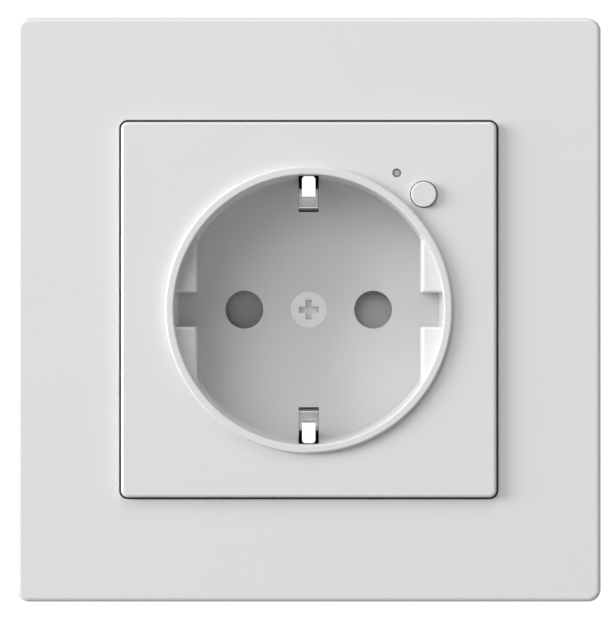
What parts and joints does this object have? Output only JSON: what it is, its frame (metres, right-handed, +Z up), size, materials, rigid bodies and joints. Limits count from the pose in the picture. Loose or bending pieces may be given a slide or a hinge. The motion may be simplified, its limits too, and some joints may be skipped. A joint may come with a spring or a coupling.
{
  "type": "flush-mounted smart wall socket",
  "caption": "Flush-mounted smart wall socket with a square frame, an earthed round recess, a push button and an indicator; wall-box insert behind.",
  "frame": {"origin": "centre of the socket on the wall's surface", "axes": "face looks along -Y, insert reaches into the wall along +Y, X to the right seen from the front, Z up"},
  "size_m": [0.0856, 0.0493, 0.0856],
  "materials": {
    "frame_plastic": "white, satin gloss",
    "plate_plastic": "white, satin gloss",
    "screw_plastic": "light grey, matte",
    "clear_guide": "milky clear light pipe",
    "spring_steel": "drawn steel",
    "zinc_steel": "zinc plated sheet steel",
    "zinc_screws": "zinc plated",
    "base_plastic": "dark grey thermoset",
    "rear_plastic": "dark grey, matte",
    "nickel_brass": "nickel plated brass",
    "copper_strip": "bare copper strip",
    "contact_brass": "bare brass sheet",
    "board_green": "green solder mask",
    "switch_metal": "stamped shield",
    "led_body": "clear resin in a white body",
    "module_can": "tin plated shield",
    "relay_case": "dark blue, matte",
    "film_case": "ochre, matte",
    "capacitor_sleeve": "black sleeve",
    "transformer_tape": "yellow polyester tape",
    "varistor_coat": "blue epoxy",
    "fuse_body": "brown, matte",
    "header_black": "black, matte",
    "shutter_plastic": "grey, matte",
    "release_plastic": "orange, matte"
  },
  "bodies": {
    "socket": {"cover_frame": "frame_plastic", "cover_plate": "plate_plastic", "cover_screw": "screw_plastic", "light_guide": "clear_guide", "button_spring": "spring_steel", "support_ring": "zinc_steel", "ring_screws": "zinc_screws", "shutter_spring": "spring_steel", "base_housing": "base_plastic", "rear_cover": "rear_plastic", "earth_strap": "nickel_brass", "earth_link": "copper_strip", "line_contact": "contact_brass", "neutral_contact": "contact_brass", "line_bus": "copper_strip", "neutral_bus": "copper_strip", "line_terminal": "contact_brass", "neutral_terminal": "contact_brass", "earth_terminal": "contact_brass", "line_clamp": "spring_steel", "neutral_clamp": "spring_steel", "earth_clamp": "spring_steel", "radio_board": "board_green", "power_board": "board_green", "tact_switch": "switch_metal", "status_led": "led_body", "radio_module": "module_can", "relay": "relay_case", "film_capacitor": "film_case", "storage_capacitor": "capacitor_sleeve", "transformer": "transformer_tape", "varistor": "varistor_coat", "fuse": "fuse_body", "board_header": "header_black"},
    "button": {"button_cap": "plate_plastic", "tact_plunger": "header_black"},
    "shutter": {"shutter_disc": "shutter_plastic"},
    "claw_screw_left": {"claw_screw_left": "zinc_screws"},
    "claw_nut_left": {"claw_nut_left": "zinc_steel"},
    "claw_left": {"claw_left": "zinc_steel"},
    "claw_screw_right": {"claw_screw_right": "zinc_screws"},
    "claw_nut_right": {"claw_nut_right": "zinc_steel"},
    "claw_right": {"claw_right": "zinc_steel"},
    "release_line": {"release_button_line": "release_plastic"},
    "release_neutral": {"release_button_neutral": "release_plastic"},
    "release_earth": {"release_button_earth": "release_plastic"}
  },
  "joints": [
    {"name": "button_press", "type": "slide", "parent": "socket", "child": "button", "axis": [0, 1, 0], "range_m": [0, 0.0005], "stiffness_N_per_m": 600, "springref_m": -0.0006, "deforming": ["button_spring"]},
    {"name": "shutter_turn", "type": "hinge", "parent": "socket", "child": "shutter", "pos_m": [0, 0.0089, 0], "axis": [0, 1, 0], "range_deg": [0, 38.5], "stiffness_Nm_per_rad": 0.002, "springref_deg": -8.59},
    {"name": "claw_screw_left_turn", "type": "hinge", "parent": "socket", "child": "claw_screw_left", "pos_m": [-0.0249, 0, 0], "axis": [0, 1, 0], "range_deg": [0, 4680]},
    {"name": "claw_nut_left_slide", "type": "slide", "parent": "socket", "child": "claw_nut_left", "axis": [0, -1, 0], "range_m": [0, 0.0078]},
    {"name": "claw_left_swing", "type": "hinge", "parent": "socket", "child": "claw_left", "pos_m": [-0.0236, 0.0026, 0], "axis": [0, 0, 1], "range_deg": [0, 9.6]},
    {"name": "claw_screw_right_turn", "type": "hinge", "parent": "socket", "child": "claw_screw_right", "pos_m": [0.0249, 0, 0], "axis": [0, 1, 0], "range_deg": [0, 4680]},
    {"name": "claw_nut_right_slide", "type": "slide", "parent": "socket", "child": "claw_nut_right", "axis": [0, -1, 0], "range_m": [0, 0.0078]},
    {"name": "claw_right_swing", "type": "hinge", "parent": "socket", "child": "claw_right", "pos_m": [0.0236, 0.0026, 0], "axis": [0, 0, -1], "range_deg": [0, 9.6]},
    {"name": "release_line_press", "type": "slide", "parent": "socket", "child": "release_line", "axis": [0, -1, 0], "range_m": [0, 0.001], "stiffness_N_per_m": 1500, "springref_m": -0.0008},
    {"name": "release_neutral_press", "type": "slide", "parent": "socket", "child": "release_neutral", "axis": [0, -1, 0], "range_m": [0, 0.001], "stiffness_N_per_m": 1500, "springref_m": -0.0008},
    {"name": "release_earth_press", "type": "slide", "parent": "socket", "child": "release_earth", "axis": [0, -1, 0], "range_m": [0, 0.001], "stiffness_N_per_m": 1500, "springref_m": -0.0008}
  ],
  "couplings": [
    {"joint": "claw_screw_left_turn", "follows": "claw_nut_left_slide", "rad_per_m": 10472},
    {"joint": "claw_left_swing", "follows": "claw_nut_left_slide", "rad_per_m": 21.481},
    {"joint": "claw_screw_right_turn", "follows": "claw_nut_right_slide", "rad_per_m": 10472},
    {"joint": "claw_right_swing", "follows": "claw_nut_right_slide", "rad_per_m": 21.481}
  ]
}
